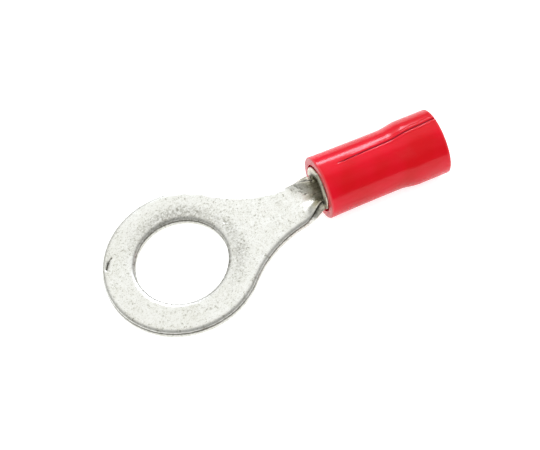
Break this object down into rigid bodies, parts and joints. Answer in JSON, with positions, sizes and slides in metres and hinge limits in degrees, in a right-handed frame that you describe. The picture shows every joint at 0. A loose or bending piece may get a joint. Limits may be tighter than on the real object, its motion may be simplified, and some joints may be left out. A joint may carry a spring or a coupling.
{
  "type": "ring terminal",
  "caption": "Crimp ring terminal: flat tinned ring tongue with a round stud hole, necked up into a small barrel under a short red flared plastic sleeve.",
  "frame": {"origin": "centre of the stud hole at the ring's lower face", "axes": "+Z along the stud hole, out of the ring's upper face; +X along the tongue towards the barrel and the wire; XZ is the plane of symmetry"},
  "size_m": [0.0252, 0.011, 0.0058],
  "materials": {
    "tinned_copper": "matt tin plating over copper",
    "red_sleeve": "glossy soft red vinyl"
  },
  "bodies": {
    "root": {"terminal": "tinned_copper", "sleeve": "red_sleeve"}
  },
  "joints": []
}
